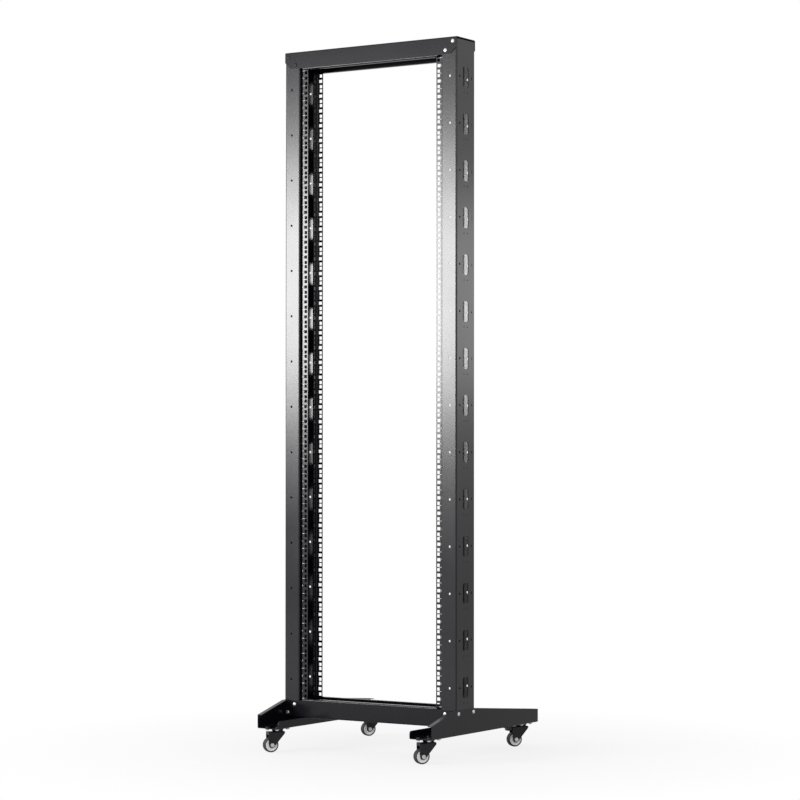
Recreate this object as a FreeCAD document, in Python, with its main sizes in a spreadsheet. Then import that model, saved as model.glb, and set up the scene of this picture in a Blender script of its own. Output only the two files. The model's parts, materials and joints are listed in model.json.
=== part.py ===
import FreeCAD, Part
import math
import os
import re
import Sketcher

# Open two-post equipment rack on casters, 42 rack units high.
# Frame: +X to the right, +Y to the rear, +Z up, in millimetres.
# Origin: on the floor, midway across the rack and midway along its legs.

# Driving sizes: alias, value and what it measures.
SIZES = (
    ("sheet", 2.0, "thickness of all folded sheet steel"),
    ("bend_radius", 2.0, "inside radius of the folds"),
    ("rack_width", 600.0, "across the outer webs of the uprights"),
    ("column_depth", 100.0, "upright, front face to rear face"),
    ("column_from_middle", 115.0, "upright's axis, forward of mid-leg"),
    ("face_width", 52.0, "plain face beside the perforated strip"),
    ("return_depth", 28.0, "fold that goes inwards from each face"),
    ("strip_width", 22.6, "perforated strip, fold of the upright to free edge"),
    ("rail_setback", 10.0, "strip, behind the upright's face"),
    ("rail_leg", 16.0, "leg of the strip's angle on the return fold"),
    ("hole_inset", 15.45, "line of square holes, inwards from the upright's fold"),
    ("square_hole", 9.5, "side of a square hole"),
    ("wide_extra", 2.0, "extra width of each unit's middle hole"),
    ("unit_height", 44.45, "one rack unit"),
    ("unit_count", 42.0, "rack units"),
    ("hole_pitch", 15.875, "between a unit's three holes"),
    ("unit_margin", 6.35, "from a unit's edge to its first hole"),
    ("first_unit_height", 151.0, "floor to the lowest rack unit"),
    ("beam_height", 55.0, "cross beam, web to rolled edge"),
    ("beam_tab", 50.0, "cross beam's end tabs, web to edge"),
    ("beam_overshoot", 56.5, "top beam's web above the highest unit"),
    ("beam_lip", 15.0, "cross beam's edge, folded inwards"),
    ("beam_bend", 2.0, "inside radius of that edge"),
    ("lip_gap", 1.6, "folded edge's end to the perforated strip"),
    ("edge_inset", 68.0, "end of the beam's full height, in from the web"),
    ("tab_inset", 63.0, "inner end of the tab, in from the web"),
    ("chamfer_across", 20.0, "end tab's cut corner, along the beam"),
    ("chamfer_up", 20.0, "end tab's cut corner, across the beam"),
    ("column_end_gap", 4.0, "upright's end to the beam's web"),
    ("slot_count", 14.0, "cable slots in each web"),
    ("slot_pitch", 135.0, "between cable slots"),
    ("slot_width", 30.0, "cable slot, front to rear"),
    ("slot_height", 60.0, "cable slot, upright"),
    ("slot_corner", 8.0, "cable slot's corner radius"),
    ("small_hole", 7.0, "diameter of the round accessory holes"),
    ("flank_offset", 32.5, "round holes either side of a slot"),
    ("face_hole_inset", 23.0, "face holes from the outer web"),
    ("screw_hole", 6.5, "diameter of the frame's screw holes"),
    ("screw_inset", 12.0, "outer beam screw, in from the web"),
    ("screw_drop", 13.2, "outer beam screw, from the beam's web"),
    ("screw_step", 25.0, "second beam screw, inwards and onwards"),
    ("leg_length", 600.0, "floor leg, front end to rear end"),
    ("leg_width", 75.0, "floor leg, outer plate to inner flange"),
    ("leg_base", 71.5, "floor to the underside of a leg"),
    ("leg_tall", 73.0, "outer plate beside the upright"),
    ("leg_low", 39.5, "outer plate at its two ends"),
    ("leg_front_run", 125.0, "length of the front slope"),
    ("leg_rear_start", 40.0, "rear slope starts behind the axis"),
    ("leg_flange", 23.0, "inner flange's height, up to the beam"),
    ("leg_lip", 14.0, "lip along the sloped edges"),
    ("leg_corner", 8.0, "rounded top corners of the inner flange"),
    ("earth_hole", 5.0, "diameter of the earthing hole in the inner flange"),
    ("earth_hole_up", 9.0, "earthing hole above the leg's underside"),
    ("earth_hole_back", 18.0, "earthing hole behind the upright's axis"),
    ("leg_screw_reach", 41.0, "side screws, from the upright's axis"),
    ("leg_screw_drop", 10.7, "side screws, below the plate's top"),
    ("caster_front", 45.0, "front swivel, behind the leg's end"),
    ("caster_inset", 2.0, "swivels, inwards from the leg's middle"),
    ("caster_rear", 35.0, "rear swivel, ahead of the leg's end"),
    ("swivel_rest", -37.0, "angle in which the casters stand"),
    ("plate_width", 46.0, "caster plate, across the leg"),
    ("plate_length", 66.0, "caster plate, along the leg"),
    ("plate_corner", 5.0, "caster plate's corner radius"),
    ("plate_thick", 2.5, "caster plate"),
    ("bolt_across", 36.0, "caster bolts, across the leg"),
    ("bolt_along", 52.0, "caster bolts, along the leg"),
    ("bolt_hole", 6.5, "diameter of the caster plate's bolt holes"),
    ("bolt_slot", 18.0, "leg's slots for those bolts, across the leg"),
    ("bolt_slot_corner", 3.0, "corner radius of these slots"),
    ("cup_radius", 19.0, "swivel bearing's cup"),
    ("cup_height", 7.6, "cup below the plate"),
    ("cup_gap", 0.4, "running gap in the swivel bearing"),
    ("pin_radius", 5.0, "swivel pin"),
    ("pin_fit", 0.08, "radial clearance of the swivel pin"),
    ("fork_sheet", 2.0, "caster fork's sheet"),
    ("fork_inside", 24.0, "between the fork's cheeks"),
    ("fork_back", 19.0, "fork, from swivel axis away from wheel"),
    ("fork_front", 31.0, "fork, from swivel axis over the wheel"),
    ("fork_skirt", 5.5, "depth of the fork's rear skirt"),
    ("fork_lip", 9.0, "depth of the hood over the wheel"),
    ("fork_boss", 9.0, "fork's rounded end about the axle"),
    ("trail", 21.0, "axle behind the swivel axis"),
    ("wheel_radius", 22.0, "wheel over its tread"),
    ("wheel_width", 20.5, "tyre"),
    ("tread_round", 3.5, "radius of the tyre's shoulders"),
    ("core_radius", 17.8, "light wheel disc inside the tyre"),
    ("core_width", 18.5, "light wheel disc"),
    ("hub_radius", 8.0, "wheel's hub"),
    ("hub_width", 23.0, "wheel's hub"),
    ("dish_depth", 1.5, "hollow ring in the wheel disc"),
    ("axle_radius", 3.0, "axle bolt"),
    ("axle_fit", 0.08, "radial clearance of the axle in the hub"),
    ("nut_across", 11.0, "axle nut, across its flats"),
    ("nut_height", 5.5, "axle nut and head"),
    ("pedal_width", 18.0, "brake pedal"),
    ("pedal_reach", 16.0, "brake pedal, out from the hood"),
    ("pedal_ear", 5.5, "brake pedal's tip beyond its posts"),
    ("pedal_gap", 4.2, "brake pedal's lower bar above the tyre"),
    ("pedal_sheet", 2.0, "brake pedal's sheet"),
    ("pedal_turn", 6.0, "brake pedal's turned edge"),
)

# Lengths that follow from the driving sizes, as expressions on the sheet.
HALF_WIDTH = "(rack_width / 2)"
HALF_DEPTH = "(column_depth / 2)"
STRIP_ROOT = "(rack_width / 2 - face_width)"
OUTER_BEND = "(bend_radius + sheet)"
FREE_EDGE = f"({STRIP_ROOT} - strip_width)"
HOLE_LINE = f"({STRIP_ROOT} - hole_inset)"
RACK_TOP = "(first_unit_height + unit_count * unit_height + beam_overshoot)"
BOTTOM_WEB = "(first_unit_height - beam_overshoot)"
COLUMN_FOOT = f"({BOTTOM_WEB} + sheet + column_end_gap)"
COLUMN_HEAD = f"({RACK_TOP} - sheet - column_end_gap)"
COLUMN_LENGTH = f"({COLUMN_HEAD} - {COLUMN_FOOT})"
SLOT_SPAN = "(slot_pitch * (slot_count - 1))"
FIRST_SLOT = f"(first_unit_height + (unit_count * unit_height - {SLOT_SPAN}) / 2)"
LEG_OUTSIDE = f"({HALF_WIDTH} + sheet)"
CASTER_LINE = f"({LEG_OUTSIDE} - leg_width / 2 - caster_inset)"
RACE_TOP = "(leg_base - plate_thick)"
FORK_TOP = "(leg_base - plate_thick - cup_height - cup_gap)"
FORK_HALF = "(fork_inside / 2 + fork_sheet)"
CLOSE = "(sheet / 200)"

document = FreeCAD.newDocument("equipment_rack")
sheet = document.addObject("Spreadsheet::Sheet", "Sizes")
for row, (alias, number, note) in enumerate(SIZES, start=1):
    sheet.set(f"A{row}", note)
    sheet.set(f"B{row}", str(number))
    sheet.setAlias(f"B{row}", alias)
document.recompute()
ALIASES = {alias for alias, number, note in SIZES}


def bound(text):
    """The expression with each size's alias pointed at the sheet."""
    def point(match):
        word = match.group()
        return "Sizes." + word if word in ALIASES else word
    return re.sub(r"[a-z_]+", point, text)


def value(text):
    """The number that an expression gives now."""
    return float(sheet.evalExpression(bound(text)))


def bind(thing, prop, text):
    """Ties a property to the sheet."""
    thing.setExpression(prop, bound(text))


def new_body(label, x="0", y="0", z="0", turned=False):
    """An empty body; turned ones stand at the casters' resting angle."""
    body = document.addObject("PartDesign::Body", label)
    body.Label = label
    if turned:
        turn = FreeCAD.Rotation(FreeCAD.Vector(0, 0, 1), value("swivel_rest"))
        body.Placement = FreeCAD.Placement(FreeCAD.Vector(), turn)
        bind(body, "Placement.Rotation.Angle", "swivel_rest * 1 deg")
    bind(body, "Placement.Base.x", x)
    bind(body, "Placement.Base.y", y)
    bind(body, "Placement.Base.z", z)
    return body


def origin_part(body, role):
    """One of the body's own planes or axes."""
    return next(part for part in body.Origin.OriginFeatures if part.Role == role)


def new_sketch(body, plane, offset="0"):
    """A sketch on one of the body's planes, moved along the plane's normal."""
    sketch = body.newObject("Sketcher::SketchObject", body.Name + "_sketch")
    sketch.AttachmentSupport = [(origin_part(body, plane), "")]
    sketch.MapMode = "FlatFace"
    bind(sketch, "AttachmentOffset.Base.z", offset)
    return sketch


def pin_point(sketch, geometry, end, x, y):
    """Places one point of a sketch by its two distances from the origin."""
    for kind, text in (("DistanceX", x), ("DistanceY", y)):
        rule = Sketcher.Constraint(kind, -1, 1, geometry, end, value(text))
        index = sketch.addConstraint(rule)
        bind(sketch, f"Constraints[{index}]", text)


def radius_of(sketch, geometry, radius):
    """Sets an arc's or circle's radius."""
    index = sketch.addConstraint(Sketcher.Constraint("Radius", geometry, value(radius)))
    bind(sketch, f"Constraints[{index}]", radius)


def circle(sketch, x, y, radius):
    """A circle placed and sized from the sheet."""
    middle = FreeCAD.Vector(value(x), value(y), 0)
    shape = Part.Circle(middle, FreeCAD.Vector(0, 0, 1), value(radius))
    index = sketch.addGeometry(shape, False)
    pin_point(sketch, index, 3, x, y)
    radius_of(sketch, index, radius)


def stepped(text, direction, radius):
    """An expression moved by a radius along one axis, or left alone."""
    if direction == 0:
        return text
    return f"({text}) {'+' if direction > 0 else '-'} {radius}"


def travel(start, end):
    """The directions, -1, 0 or 1, in which an upright or level edge runs."""
    moves = []
    for first, last in zip(start[:2], end[:2]):
        change = value(last) - value(first)
        moves.append(0 if abs(change) < 1e-6 else int(math.copysign(1, change)))
    return moves


def outline(sketch, corners):
    """A closed outline; a corner with a third entry is rounded by it."""
    runs = []
    count = len(corners)
    for index, corner in enumerate(corners):
        before = travel(corners[index - 1], corner)
        after = travel(corner, corners[(index + 1) % count])
        if len(corner) == 2:
            runs.append((corner, corner, None))
            continue
        x, y, radius = corner
        arrive = (stepped(x, -before[0], radius), stepped(y, -before[1], radius))
        leave = (stepped(x, after[0], radius), stepped(y, after[1], radius))
        centre_x = value(arrive[0]) + after[0] * value(radius)
        centre_y = value(arrive[1]) + after[1] * value(radius)
        left_turn = before[0] * after[1] - before[1] * after[0] > 0
        runs.append((arrive, leave, (centre_x, centre_y, radius, left_turn)))
    lines = []
    for index, run in enumerate(runs):
        start = run[1]
        end = runs[(index + 1) % count][0]
        first = FreeCAD.Vector(value(start[0]), value(start[1]), 0)
        last = FreeCAD.Vector(value(end[0]), value(end[1]), 0)
        line = sketch.addGeometry(Part.LineSegment(first, last), False)
        pin_point(sketch, line, 1, *start)
        lines.append(line)
    for index, (arrive, leave, bend) in enumerate(runs):
        coming, going = lines[index - 1], lines[index]
        if bend is None:
            join = Sketcher.Constraint("Coincident", coming, 2, going, 1)
            sketch.addConstraint(join)
            continue
        pin_point(sketch, coming, 2, *arrive)
        centre_x, centre_y, radius, left_turn = bend
        start, end = (arrive, leave) if left_turn else (leave, arrive)
        first = math.atan2(value(start[1]) - centre_y, value(start[0]) - centre_x)
        last = math.atan2(value(end[1]) - centre_y, value(end[0]) - centre_x)
        if last < first:
            last += 2 * math.pi
        centre = FreeCAD.Vector(centre_x, centre_y, 0)
        round_part = Part.Circle(centre, FreeCAD.Vector(0, 0, 1), value(radius))
        arc = sketch.addGeometry(Part.ArcOfCircle(round_part, first, last), False)
        near, far = (1, 2) if left_turn else (2, 1)
        sketch.addConstraint(Sketcher.Constraint("Coincident", coming, 2, arc, near))
        sketch.addConstraint(Sketcher.Constraint("Coincident", arc, far, going, 1))
        radius_of(sketch, arc, radius)


def box_corners(x_low, x_high, y_low, y_high, radius=None):
    """The corners of a rectangle, rounded if a radius is given."""
    corners = ((x_low, y_low), (x_high, y_low), (x_high, y_high), (x_low, y_high))
    return [corner + (radius,) if radius else corner for corner in corners]


def feature(body, kind, sketch, length=None, reversed_way=False, both_ways=False):
    """A pad or pocket of a sketch; without a length it goes right through."""
    made = body.newObject("PartDesign::" + kind, f"{body.Name}_{kind}")
    made.Profile = sketch
    made.SideType = "Symmetric" if both_ways else "One side"
    made.Reversed = reversed_way
    if length is None:
        made.Type = "ThroughAll"
    else:
        bind(made, "Length", length)
    sketch.Visibility = False
    document.recompute()
    return made


def repeated(body, original, axis, span, count):
    """Repeats a feature evenly along one of the body's axes."""
    pattern = body.newObject("PartDesign::LinearPattern", body.Name + "_pattern")
    pattern.Originals = [original]
    pattern.Direction = (origin_part(body, axis), [""])
    bind(pattern, "Length", span)
    bind(pattern, "Occurrences", count)
    body.Tip = pattern
    document.recompute()
    return pattern


def rounded(body, radius, wanted):
    """Rounds the edges of the body that the test picks out."""
    edges = [f"Edge{number}" for number, edge in enumerate(body.Shape.Edges, start=1)
             if wanted(edge)]
    base = body.Tip
    fillet = body.newObject("PartDesign::Fillet", body.Name + "_rounding")
    fillet.Base = (base, edges)
    bind(fillet, "Radius", radius)
    document.recompute()
    return fillet


def side_text(side, text):
    """An expression mirrored to the left when side is -1."""
    return text if side > 0 else f"-({text})"


def upright(name, side):
    """A folded channel, open towards the bay, with slots in its web."""
    body = new_body(name, "0", "-column_from_middle", COLUMN_FOOT)
    outer, inner = side_text(side, HALF_WIDTH), side_text(side, f"{HALF_WIDTH} - sheet")
    root = side_text(side, STRIP_ROOT)
    root_back = side_text(side, f"{STRIP_ROOT} + sheet")
    face, face_back = HALF_DEPTH, f"({HALF_DEPTH} - sheet)"
    fold_end = f"({HALF_DEPTH} - return_depth)"
    section = new_sketch(body, "XY_Plane")
    outline(section, [
        (root, f"-{fold_end}"),
        (root, f"-{face}", OUTER_BEND),
        (outer, f"-{face}", OUTER_BEND),
        (outer, face, OUTER_BEND),
        (root, face, OUTER_BEND),
        (root, fold_end),
        (root_back, fold_end),
        (root_back, face_back, "bend_radius"),
        (inner, face_back, "bend_radius"),
        (inner, f"-{face_back}", "bend_radius"),
        (root_back, f"-{face_back}", "bend_radius"),
        (root_back, f"-{fold_end}"),
    ])
    feature(body, "Pad", section, COLUMN_LENGTH)

    # One cable slot with its two round holes, cut from outside into the web.
    slot_z = f"({FIRST_SLOT} - {COLUMN_FOOT})"
    slots = new_sketch(body, "YZ_Plane", outer)
    outline(slots, box_corners(
        "-slot_width / 2", "slot_width / 2", f"{slot_z} - slot_height / 2",
        f"{slot_z} + slot_height / 2", "slot_corner"))
    for reach in ("-flank_offset", "flank_offset"):
        circle(slots, reach, slot_z, "small_hole / 2")
    cut = feature(body, "Pocket", slots, "2 * sheet", reversed_way=side < 0)
    repeated(body, cut, "Z_Axis", SLOT_SPAN, "slot_count")

    # The round hole beside each slot, through the front and rear faces.
    holes = new_sketch(body, "XZ_Plane")
    hole_x = side_text(side, f"{HALF_WIDTH} - face_hole_inset")
    circle(holes, hole_x, slot_z, "small_hole / 2")
    cut = feature(body, "Pocket", holes, both_ways=True)
    repeated(body, cut, "Z_Axis", SLOT_SPAN, "slot_count")

    # Screw holes to the two cross beams and to the leg.
    screws = new_sketch(body, "XZ_Plane")
    for web, onward in ((BOTTOM_WEB, 1), (RACK_TOP, -1)):
        for step in (0, 1):
            screw_x = side_text(side, f"{HALF_WIDTH} - screw_inset - {step} * screw_step")
            drop = f"(screw_drop + {step} * screw_step)"
            circle(screws, screw_x, f"{web} - {COLUMN_FOOT} + {onward} * {drop}",
                   "screw_hole / 2")
    feature(body, "Pocket", screws, both_ways=True)
    side_screws = new_sketch(body, "YZ_Plane", outer)
    for reach in ("-leg_screw_reach", "leg_screw_reach"):
        circle(side_screws, reach, f"leg_base + leg_tall - leg_screw_drop - {COLUMN_FOOT}",
               "screw_hole / 2")
    feature(body, "Pocket", side_screws, "2 * sheet", reversed_way=side < 0)
    return body


def rail(name, side, front):
    """The perforated angle; front is -1 on the front face and 1 at the rear."""
    body = new_body(name, "0", "-column_from_middle", COLUMN_FOOT)
    free = side_text(side, FREE_EDGE)
    root = side_text(side, STRIP_ROOT)
    leg_back = side_text(side, f"{STRIP_ROOT} - sheet")
    face = side_text(front, f"{HALF_DEPTH} - rail_setback")
    back = side_text(front, f"{HALF_DEPTH} - rail_setback - sheet")
    leg_end = side_text(front, f"{HALF_DEPTH} - rail_setback - rail_leg")
    section = new_sketch(body, "XY_Plane")
    outline(section, [
        (free, face), (root, face, OUTER_BEND), (root, leg_end),
        (leg_back, leg_end), (leg_back, back, "bend_radius"), (free, back)])
    feature(body, "Pad", section, COLUMN_LENGTH)

    # One unit's three holes, the middle one wider towards the upright.
    holes = new_sketch(body, "XZ_Plane")
    near = side_text(side, f"{HOLE_LINE} - square_hole / 2")
    far = side_text(side, f"{HOLE_LINE} + square_hole / 2")
    far_wide = side_text(side, f"{HOLE_LINE} + square_hole / 2 + wide_extra")
    for order in range(3):
        middle = f"(first_unit_height - {COLUMN_FOOT} + unit_margin + {order} * hole_pitch)"
        outline(holes, box_corners(
            near, far_wide if order == 1 else far,
            f"{middle} - square_hole / 2", f"{middle} + square_hole / 2"))
    cut = feature(body, "Pocket", holes, both_ways=True)
    repeated(body, cut, "Z_Axis", "unit_height * (unit_count - 1)", "unit_count")
    return body


def cross_beam(name, web, way):
    """A lipped channel over the uprights' ends; way is where it opens."""
    body = new_body(name, "0", "-column_from_middle", web)
    outside = f"({HALF_DEPTH} + sheet)"
    lip_end = f"({HALF_DEPTH} + sheet - beam_lip)"
    edge, edge_back = (f"{way} * beam_height", f"{way} * (beam_height - sheet)")
    web_back = f"{way} * sheet"
    roll, roll_back = "(beam_bend + sheet)", "beam_bend"
    section = new_sketch(body, "YZ_Plane")
    outline(section, [
        (f"-{outside}", "0", OUTER_BEND),
        (outside, "0", OUTER_BEND),
        (outside, edge, roll),
        (lip_end, edge),
        (lip_end, edge_back),
        (HALF_DEPTH, edge_back, roll_back),
        (HALF_DEPTH, web_back, "bend_radius"),
        (f"-{HALF_DEPTH}", web_back, "bend_radius"),
        (f"-{HALF_DEPTH}", edge_back, roll_back),
        (f"-{lip_end}", edge_back),
        (f"-{lip_end}", edge),
        (f"-{outside}", edge, roll),
    ])
    feature(body, "Pad", section, "rack_width", both_ways=True)

    # The end tabs: the edge slopes down to them, and each has a cut corner.
    ends = new_sketch(body, "XZ_Plane")
    tab = f"{way} * beam_tab"
    past = f"{way} * (beam_height + sheet)"
    for side in (-1, 1):
        outline(ends, [
            (side_text(side, f"{HALF_WIDTH} - edge_inset"), edge),
            (side_text(side, f"{HALF_WIDTH} - tab_inset"), tab),
            (side_text(side, f"{HALF_WIDTH} - chamfer_across"), tab),
            (side_text(side, HALF_WIDTH), f"{way} * (beam_tab - chamfer_up)"),
            (side_text(side, f"{HALF_WIDTH} + sheet"), f"{way} * (beam_tab - chamfer_up)"),
            (side_text(side, f"{HALF_WIDTH} + sheet"), past),
            (side_text(side, f"{HALF_WIDTH} - edge_inset"), past),
        ])
    feature(body, "Pocket", ends, both_ways=True)

    # Beside the perforated strips only the bend stays, without the folded edge.
    clear = new_sketch(body, "XY_Plane", past)
    for side in (-1, 1):
        outline(clear, box_corners(
            side_text(side, f"{FREE_EDGE} - lip_gap"), side_text(side, f"{HALF_WIDTH} + sheet"),
            f"-({HALF_DEPTH} - beam_bend)", f"({HALF_DEPTH} - beam_bend)"))
    feature(body, "Pocket", clear, "beam_bend + 2 * sheet", reversed_way=way < 0)
    screws = new_sketch(body, "XZ_Plane")
    for side in (-1, 1):
        for step in (0, 1):
            screw_x = side_text(side, f"{HALF_WIDTH} - screw_inset - {step} * screw_step")
            circle(screws, screw_x, f"{way} * (screw_drop + {step} * screw_step)",
                   "screw_hole / 2")
    feature(body, "Pocket", screws, both_ways=True)
    return body


def caster_y(at_rear):
    """Where along the legs a swivel axis stands."""
    return "(leg_length / 2 - caster_rear)" if at_rear else "-(leg_length / 2 - caster_front)"


def floor_leg(name, side):
    """A folded channel with a tall, sloped outer plate outside the upright."""
    body = new_body(name, "0", "0", "leg_base")
    outer, outer_back = side_text(side, LEG_OUTSIDE), side_text(side, HALF_WIDTH)
    inner = side_text(side, f"{LEG_OUTSIDE} - leg_width")
    inner_back = side_text(side, f"{LEG_OUTSIDE} - leg_width + sheet")
    section = new_sketch(body, "XZ_Plane")
    outline(section, [
        (inner, "leg_flange"), (inner, "0", OUTER_BEND), (outer, "0", OUTER_BEND),
        (outer, "leg_tall"), (outer_back, "leg_tall"),
        (outer_back, "sheet", "bend_radius"), (inner_back, "sheet", "bend_radius"),
        (inner_back, "leg_flange")])
    feature(body, "Pad", section, "leg_length", both_ways=True)

    # The slopes of the outer plate, down to its two low ends.
    end = "(leg_length / 2)"
    front_top = f"(-{end} + leg_front_run)"
    rear_top = "(leg_rear_start - column_from_middle)"
    slopes = new_sketch(body, "YZ_Plane")
    above = "leg_tall + sheet"
    outline(slopes, [
        (f"-{end} - sheet", "leg_low"), (f"-{end}", "leg_low"), (front_top, "leg_tall"),
        (front_top, above), (f"-{end} - sheet", above)])
    outline(slopes, [
        (f"{end} + sheet", "leg_low"), (end, "leg_low"), (rear_top, "leg_tall"),
        (rear_top, above), (f"{end} + sheet", above)])
    feature(body, "Pocket", slopes, both_ways=True)

    # The lips folded in along both slopes; the rear one starts behind the beam.
    lip_start = f"({HALF_DEPTH} + 2 * sheet - column_from_middle)"
    fall = f"((leg_tall - leg_low) * ({lip_start} - {rear_top}) / ({end} - {rear_top}))"
    lips = new_sketch(body, "YZ_Plane", outer)
    for low_end, high_end, top in ((f"-{end}", front_top, "leg_tall"),
                                   (end, lip_start, f"(leg_tall - {fall})")):
        outline(lips, [
            (low_end, "leg_low - sheet"), (high_end, f"{top} - sheet"),
            (high_end, top), (low_end, "leg_low")])
    feature(body, "Pad", lips, "leg_lip", reversed_way=side > 0)

    # Rounded upper corners at both ends of the inner flange.
    reach = value(end)
    height = value("leg_flange")

    def flange_corner(edge):
        local = edge.CenterOfMass - body.Placement.Base
        across = abs(edge.BoundBox.XLength - value("sheet")) < value(CLOSE)
        at_end = abs(abs(local.y) - reach) < value(CLOSE)
        return across and at_end and abs(local.z - height) < value(CLOSE)

    rounded(body, "leg_corner", flange_corner)

    # Slots for the caster bolts, which leave room to set the plates, and side screw holes.
    bolts = new_sketch(body, "XY_Plane")
    for at_rear in (False, True):
        for across in (-1, 1):
            for along in (-1, 1):
                bolt_x = f"{CASTER_LINE} + {across} * bolt_across / 2"
                bolt_y = f"{caster_y(at_rear)} + {along} * bolt_along / 2"
                outline(bolts, box_corners(
                    side_text(side, f"{bolt_x} - bolt_slot / 2"),
                    side_text(side, f"{bolt_x} + bolt_slot / 2"),
                    f"{bolt_y} - bolt_hole / 2", f"{bolt_y} + bolt_hole / 2",
                    "bolt_slot_corner"))
    feature(body, "Pocket", bolts, "sheet", reversed_way=True)
    screws = new_sketch(body, "YZ_Plane", outer)
    for reach_text in ("-leg_screw_reach", "leg_screw_reach"):
        circle(screws, f"{reach_text} - column_from_middle", "leg_tall - leg_screw_drop",
               "screw_hole / 2")
    feature(body, "Pocket", screws, "2 * sheet", reversed_way=side < 0)
    earth = new_sketch(body, "YZ_Plane", inner)
    circle(earth, "earth_hole_back - column_from_middle", "earth_hole_up", "earth_hole / 2")
    feature(body, "Pocket", earth, "2 * sheet", reversed_way=side > 0)
    return body


def revolved(body, plane, axis, corners):
    """A solid of revolution of an outline about one of the body's axes."""
    sketch = new_sketch(body, plane)
    outline(sketch, corners)
    turned = body.newObject("PartDesign::Revolution", body.Name + "_turned")
    turned.Profile = sketch
    turned.ReferenceAxis = (origin_part(body, axis), [""])
    turned.Angle = 360.0
    sketch.Visibility = False
    document.recompute()
    return turned


def caster_plate(name, x, y):
    """The bolted top plate with the swivel bearing's upper cup."""
    body = new_body(name, x, y, RACE_TOP)
    plan = new_sketch(body, "XY_Plane")
    outline(plan, box_corners("-plate_width / 2", "plate_width / 2", "-plate_length / 2",
                              "plate_length / 2", "plate_corner"))
    feature(body, "Pad", plan, "plate_thick")
    revolved(body, "XZ_Plane", "Z_Axis", [
        ("pin_radius", "plate_thick / 2"), ("pin_radius", "-cup_height"),
        ("cup_radius - 2 * bend_radius", "-cup_height"), ("cup_radius", "0"),
        ("cup_radius", "plate_thick / 2")])
    holes = new_sketch(body, "XY_Plane")
    for across in (-1, 1):
        for along in (-1, 1):
            circle(holes, f"{across} * bolt_across / 2", f"{along} * bolt_along / 2",
                   "bolt_hole / 2")
    circle(holes, "0", "0", "pin_radius")
    feature(body, "Pocket", holes, "plate_thick", reversed_way=True)
    return body


def swivel_pin(name, x, y):
    """The riveted pin that holds the fork under the plate."""
    body = new_body(name, x, y, FORK_TOP)
    head = "(-fork_sheet - cup_gap)"
    revolved(body, "XZ_Plane", "Z_Axis", [
        ("0", f"{head} - fork_sheet"), ("pin_radius + fork_sheet", f"{head} - fork_sheet"),
        ("pin_radius + fork_sheet", head), ("pin_radius", head),
        ("pin_radius", "cup_gap + cup_height + plate_thick"),
        ("0", "cup_gap + cup_height + plate_thick")])
    return body


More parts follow.
